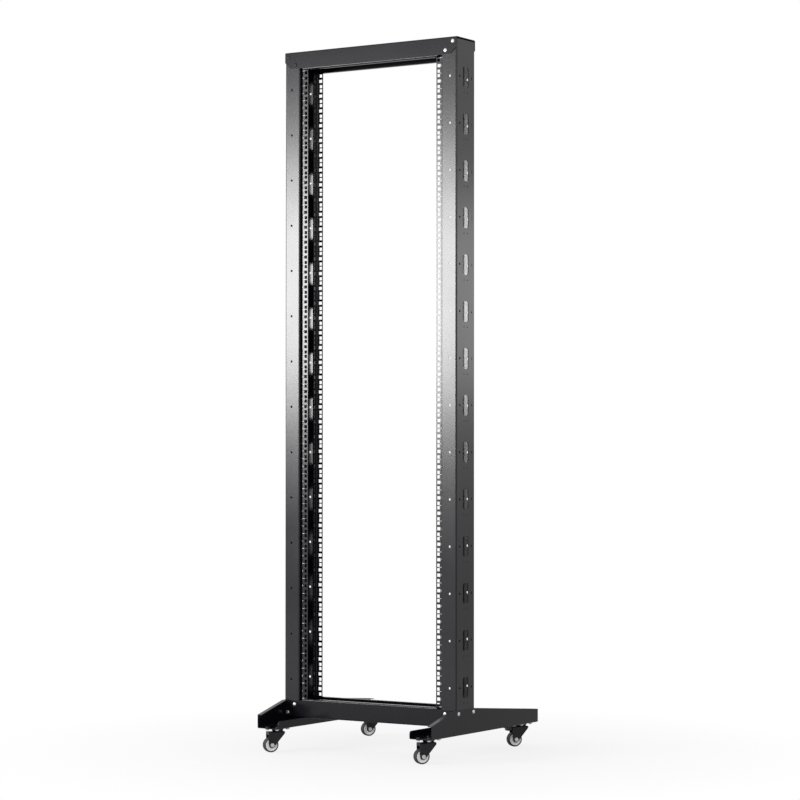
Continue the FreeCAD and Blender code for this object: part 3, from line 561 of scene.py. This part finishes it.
class RACK_PG_studio(bpy.types.PropertyGroup):
    """Floor and light."""
    floor_colour: FloatVectorProperty(
        name="Floor", description="Colour of the floor", subtype="COLOR", size=3,
        default=(0.6, 0.6, 0.6), min=0, max=1)
    key_power: FloatProperty(name="Key", description="Power of the front softbox",
                             default=185.0, min=0, unit="POWER")
    side_power: FloatProperty(name="Side", description="Power of the rear side card",
                              default=11.0, min=0, unit="POWER")
    fill_power: FloatProperty(name="Fill", description="Power of the light beside the camera",
                              default=28.0, min=0, unit="POWER")
    world_strength: FloatProperty(name="World", description="Strength of the room's light",
                                  default=0.8, min=0)


class RACK_OT_paint_frame(bpy.types.Operator):
    """Give the frame's uprights, rails, beams and legs their powder coat"""
    bl_idname = "rack.paint_frame"
    bl_label = "Paint frame"

    def execute(self, context):
        look = context.scene.rack_finish
        coat = powder_coat("powder_coat", look, look.paint_index)
        # The beams and legs get a second copy of the coat that reflects less, a painted shade for
        # their darker look.
        shaded_coat = powder_coat("dull_powder_coat", look, look.dull_index)
        for name in FRAME_NODES:
            dress(name, shaded_coat if name.endswith(("leg", "beam")) else coat)
        return {"FINISHED"}


class RACK_OT_finish_casters(bpy.types.Operator):
    """Give the casters their plating, rubber and plastic"""
    bl_idname = "rack.finish_casters"
    bl_label = "Finish casters"

    def execute(self, context):
        look = context.scene.rack_finish
        plate = plated_steel("black_plate", tuple(look.plate_colour), 0.38)
        fork = plated_steel("black_zinc", tuple(look.fork_colour), 0.34)
        bolt = plated_steel("bright_zinc", tuple(look.bolt_colour), 0.26)
        rubber = tread_rubber(look)
        plastic = moulded_plastic(look)
        for caster in CASTERS:
            dress(f"{caster}_caster_plate", plate)
            dress(f"{caster}_swivel_pin", plate)
            dress(f"{caster}_fork", fork)
            dress(f"{caster}_axle", bolt)
            dress(f"{caster}_tyre", rubber)
            dress(f"{caster}_wheel", plastic)
            if caster.startswith("rear"):
                dress(f"{caster}_brake_pedal", fork)
        return {"FINISHED"}


class RACK_OT_add_frame_screws(bpy.types.Operator):
    """Add the screws that hold the beams and the legs to the uprights"""
    bl_idname = "rack.add_frame_screws"
    bl_label = "Add frame screws"

    def execute(self, context):
        sizes = context.scene.rack_fasteners
        head = screw_head(sizes.screw_radius, sizes.screw_height, CROSS_DEPTH * MM)
        bright, dark = [], []
        middle = column_middle()
        for beam, way in (("bottom_beam", 1), ("top_beam", -1)):
            low, high = node_box(beam)
            web = low[2] if way > 0 else high[2]
            for _, side in HANDS:
                for face, front in ((low[1], -1), (high[1], 1)):
                    for step in (0, 1):
                        onwards = BEAM_SCREW_STEP * step
                        x = side * (high[0] - (BEAM_SCREW_IN + onwards) * MM)
                        z = web + way * (BEAM_SCREW_DROP + onwards) * MM
                        # The crosses stand at uneven angles, as screws are left by hand.
                        spin = 0.4 + 1.3 * step + side
                        put = faced((x, face, z), (0, front, 0), spin)
                        # The top beam's left screws are black.
                        (dark if side < 0 and way < 0 else bright).append(put)
        for hand, side in HANDS:
            low, high = node_box(f"{hand}_leg")
            x = high[0] if side > 0 else low[0]
            for along in (-LEG_SCREW_REACH, LEG_SCREW_REACH):
                place = (x, middle + along * MM, high[2] - LEG_SCREW_DROP * MM)
                bright.append(faced(place, (side, 0, 0), spin=along))
        finished_piece(copies_object("frame_screws", *head, bright),
                       bpy.data.materials["bright_zinc"], FRAME_BODY)
        finished_piece(copies_object("dark_frame_screws", *head, dark),
                       bpy.data.materials["black_zinc"], FRAME_BODY)
        return {"FINISHED"}


class RACK_OT_add_tie_holes(bpy.types.Operator):
    """Add pairs of small dark discs below the cable slots in the uprights' sides: painted shade
    where small tie holes show dark
    """
    bl_idname = "rack.add_tie_holes"
    bl_label = "Add tie holes"

    def execute(self, context):
        marks = context.scene.rack_marks
        # The discs are painted shade: nearly black and matt, standing where small tie holes would
        # show dark.
        dark = Finish("tie_hole", Roughness=0.9, IOR=1.3)
        dark.set(Base_Color=(0.002, 0.002, 0.002))
        first = lowest_unit() + SLOT_MARGIN * MM
        span = marks.units * marks.unit_height - 2 * SLOT_MARGIN * MM
        radius = context.scene.rack_fasteners.tie_hole_radius
        dome = DISC_DOME * MM
        vertices, faces = turned_grid(
            [(radius, 0), (0.8 * radius, dome), (0.01 * radius, dome)], DISC_SEGMENTS)
        middle = column_middle()
        places = []
        for hand, side in HANDS:
            low, high = node_box(f"{hand}_upright")
            face = high[0] if side > 0 else low[0]
            face += side * DISC_RAISE * MM
            least = node_box(f"{hand}_leg")[1][2] + LEG_TO_TIE_HOLES * MM
            for number in range(SLOTS):
                height = first + span * number / (SLOTS - 1) - SLOT_TO_TIE_HOLES * MM
                if height > least:
                    for along in (-TIE_HOLE_SIDE, TIE_HOLE_SIDE):
                        places.append(faced((face, middle + along * MM, height),
                                            (side, 0, 0)))
        finished_piece(copies_object("tie_holes", vertices, faces.tolist(), places),
                       dark.material, FRAME_BODY)
        return {"FINISHED"}


class RACK_OT_add_caster_bolts(bpy.types.Operator):
    """Add the bolts and nuts that hold the caster plates under the legs"""
    bl_idname = "rack.add_caster_bolts"
    bl_label = "Add caster bolts"

    def execute(self, context):
        sizes = context.scene.rack_fasteners
        nut = hexagon_nut(sizes.nut_across, sizes.nut_height, BOLT_RADIUS * MM)
        dome = screw_head(BOLT_HEAD_RADIUS * MM, BOLT_HEAD_HEIGHT * MM, recess=0.0)
        nuts, domes = [], []
        for caster in CASTERS:
            low, high = node_box(f"{caster}_caster_plate")
            centre = (low + high) / 2
            leg = "right_leg" if centre[0] > 0 else "left_leg"
            web_top = node_box(leg)[0][2] + SHEET * MM
            plate_under = high[2] - PLATE_THICK * MM
            for across in (-BOLT_ACROSS, BOLT_ACROSS):
                for along in (-BOLT_ALONG, BOLT_ALONG):
                    x, y = centre[0] + across * MM, centre[1] + along * MM
                    uneven = x * 90 + y * 31
                    nuts.append(faced((x, y, plate_under), (0, 0, -1), uneven))
                    domes.append(faced((x, y, web_top), (0, 0, 1)))
        finished_piece(copies_object("caster_nuts", *nut, nuts),
                       bpy.data.materials["bright_zinc"], FRAME_BODY)
        finished_piece(copies_object("caster_bolt_heads", *dome, domes),
                       bpy.data.materials["black_zinc"], FRAME_BODY)
        return {"FINISHED"}


class RACK_OT_print_unit_marks(bpy.types.Operator):
    """Print the unit numbers and lines on the front rails"""
    bl_idname = "rack.print_unit_marks"
    bl_label = "Print unit marks"

    def execute(self, context):
        sizes = context.scene.rack_marks
        ink = white_ink(context.scene.rack_finish)
        low, _ = node_box("right_front_rail")
        surface = low[1] - INK_RAISE * MM
        base = lowest_unit()
        for hand, side in HANDS:
            points, faces = self.lines(sizes, side, surface, base)
            finished_piece(mesh_object(f"{hand}_unit_lines", points, faces), ink,
                           FRAME_BODY)
            finished_piece(self.figures(sizes, side, hand, surface, base), ink,
                           FRAME_BODY)
        return {"FINISHED"}

    def lines(self, sizes, side, surface, base):
        """Short level bars at each unit's edge: corners at (x, z) plus or minus half sizes."""
        count = sizes.units + 1
        middle = base + np.arange(count) * sizes.unit_height
        half = sizes.line_width / 2
        ends = (side * LINE_INNER_END * MM, side * (LINE_INNER_END * MM + sizes.line_length))
        left, right = min(ends), max(ends)
        x = np.tile([left, right, right, left], count)
        z = (middle[:, None] + np.array([-half, -half, half, half])[None, :]).ravel()
        points = np.stack((x, np.full(4 * count, surface), z), axis=-1)
        return points, np.arange(4 * count).reshape(count, 4).tolist()

    def figures(self, sizes, side, hand, surface, base):
        """The numbers, each set upright beside its unit's middle hole, in one mesh."""
        points, faces = np.empty((0, 3)), []
        for unit in range(1, sizes.units + 1):
            words = bpy.data.curves.new(f"{hand}_figure_{unit}", "FONT")
            words.body = str(unit)
            words.size = sizes.figure_height * TYPE_SIZE
            words.align_x = "CENTER"
            words.align_y = "CENTER"
            words.resolution_u = 2
            made = bpy.data.objects.new(words.name, words)
            bpy.context.scene.collection.objects.link(made)
            bpy.context.view_layer.update()
            mesh = bpy.data.meshes.new_from_object(made)
            bpy.data.objects.remove(made)
            z = base + (unit - 0.5) * sizes.unit_height
            mesh.transform(Matrix.Translation((side * FIGURE_MIDDLE * MM, surface, z))
                           @ Matrix.Rotation(math.pi / 2, 4, "X"))
            corners = np.empty(3 * len(mesh.vertices), dtype=np.float32)
            mesh.vertices.foreach_get("co", corners)
            shift = len(points)
            faces += [[index + shift for index in face.vertices] for face in mesh.polygons]
            points = np.vstack((points, corners.reshape(-1, 3)))
        return mesh_object(f"{hand}_unit_figures", points, faces)


class RACK_OT_add_axle_washers(bpy.types.Operator):
    """Add the washers between the axle nuts and the fork cheeks"""
    bl_idname = "rack.add_axle_washers"
    bl_label = "Add axle washers"

    def execute(self, context):
        ring = flat_ring(WASHER_HOLE * MM, WASHER_RADIUS * MM, WASHER_THICK * MM)
        for joint in frame["joints"]:
            if not joint["name"].endswith("wheel_spin"):
                continue
            caster = joint["name"].replace("_wheel_spin", "")
            axis = Vector(joint["axis"]).normalized()
            middle = Vector(joint["pos_m"])
            places = [faced(middle + axis * (side * CHEEK_FACE * MM), axis * side)
                      for side in (-1, 1)]
            finished_piece(copies_object(f"{caster}_axle_washers", *ring, places),
                           bpy.data.materials["bright_zinc"], f"{caster}_swivel")
        return {"FINISHED"}


class RACK_OT_set_stage(bpy.types.Operator):
    """Set up the floor, the soft studio light and the camera"""
    bl_idname = "rack.set_stage"
    bl_label = "Set stage"

    def execute(self, context):
        studio = context.scene.rack_studio
        far = FLOOR_HALF
        floor = mesh_object("studio_floor", [(-far, -far, 0), (far, -far, 0), (far, far, 0),
                                             (-far, far, 0)], [(0, 1, 2, 3)])
        paint(floor, studio_floor(studio))
        self.light_world(studio)
        for name, (setting, *placing) in SOFT_LIGHTS.items():
            self.softbox(name, getattr(studio, setting), *placing)
        self.place_camera(context)
        context.scene.view_settings.view_transform = "Standard"
        return {"FINISHED"}

    def light_world(self, studio):
        """A plain pale room: white where it is seen or mirrored, softer as light."""
        world = bpy.context.scene.world or bpy.data.worlds.new("studio_room")
        bpy.context.scene.world = world
        room = NodeTree(world)
        path = room.node("ShaderNodeLightPath")
        camera, glossy, through = (Field(room, path.outputs[f"Is {kind} Ray"])
                                   for kind in ("Camera", "Glossy", "Transmission"))
        rest = room.node("ShaderNodeBackground", None, {
            "Color": (1, 1, 1), "Strength": studio.world_strength})
        white = room.node("ShaderNodeBackground", None, {
            "Color": (1, 1, 1), "Strength": 1.0})
        mixed = room.node("ShaderNodeMixShader", None, {
            0: camera.larger(glossy.larger(through)),
            1: Field(room, rest.outputs["Background"]),
            2: Field(room, white.outputs["Background"])})
        room.node("ShaderNodeOutputWorld", None, {
            "Surface": Field(room, mixed.outputs["Shader"])})

    def softbox(self, name, power, position, target, size):
        """A rectangular soft light that looks at a point of the rack."""
        lamp = bpy.data.lights.new(name, "AREA")
        lamp.shape = "RECTANGLE"
        lamp.size, lamp.size_y = size
        lamp.energy = power
        made = bpy.data.objects.new(name, lamp)
        bpy.context.scene.collection.objects.link(made)
        made.location = position
        aim = Vector(target) - Vector(position)
        made.rotation_euler = aim.to_track_quat("-Z", "Y").to_euler()

    def place_camera(self, context):
        """The photograph's viewpoint: 32.8 degrees to the right, nearly level, long lens."""
        lens = bpy.data.cameras.new("photo_camera")
        lens.sensor_width = SENSOR_WIDTH
        lens.lens = PHOTO_FOCAL / PHOTO_WIDTH * SENSOR_WIDTH
        lens.shift_y = PHOTO_SHIFT / PHOTO_WIDTH
        camera = bpy.data.objects.new("photo_camera", lens)
        context.scene.collection.objects.link(camera)
        camera.location = CAMERA_PLACE
        yaw, pitch, roll = (math.radians(angle) for angle in CAMERA_TURN)
        turn = (Matrix.Rotation(yaw, 3, "Z") @ Matrix.Rotation(math.pi / 2 + pitch, 3, "X")
                @ Matrix.Rotation(roll, 3, "Z"))
        camera.rotation_euler = turn.to_euler()
        lens.clip_start, lens.clip_end = 0.1, 200
        context.scene.camera = camera


class RACK_PT_panel(bpy.types.Panel):
    """The rack's settings and steps in the 3D view's sidebar"""
    bl_idname = "RACK_PT_panel"
    bl_label = "Equipment rack"
    bl_space_type = "VIEW_3D"
    bl_region_type = "UI"
    bl_category = "Rack"

    def draw(self, context):
        for step in STEPS:
            self.layout.operator(step.bl_idname)
        for group in (context.scene.rack_finish, context.scene.rack_marks,
                      context.scene.rack_fasteners, context.scene.rack_studio):
            for name in group.__annotations__:
                self.layout.prop(group, name)


GROUPS = {"rack_finish": RACK_PG_finish, "rack_marks": RACK_PG_marks,
          "rack_fasteners": RACK_PG_fasteners, "rack_studio": RACK_PG_studio}
STEPS = (RACK_OT_paint_frame, RACK_OT_finish_casters, RACK_OT_add_frame_screws,
         RACK_OT_add_tie_holes, RACK_OT_add_caster_bolts, RACK_OT_print_unit_marks,
         RACK_OT_add_axle_washers, RACK_OT_set_stage)
CLASSES = (*GROUPS.values(), *STEPS, RACK_PT_panel)


def register():
    """Registers the classes and hangs their settings on the scene."""
    for each in CLASSES:
        bpy.utils.register_class(each)
    for name, group in GROUPS.items():
        setattr(bpy.types.Scene, name, PointerProperty(type=group))


def unregister():
    """Takes the settings and classes away again."""
    for name in GROUPS:
        delattr(bpy.types.Scene, name)
    for each in reversed(CLASSES):
        bpy.utils.unregister_class(each)


def main():
    """Runs every step in order."""
    register()
    for step in STEPS:
        group, action = step.bl_idname.split(".")
        getattr(getattr(bpy.ops, group), action)()


if __name__ == "__main__":
    main()
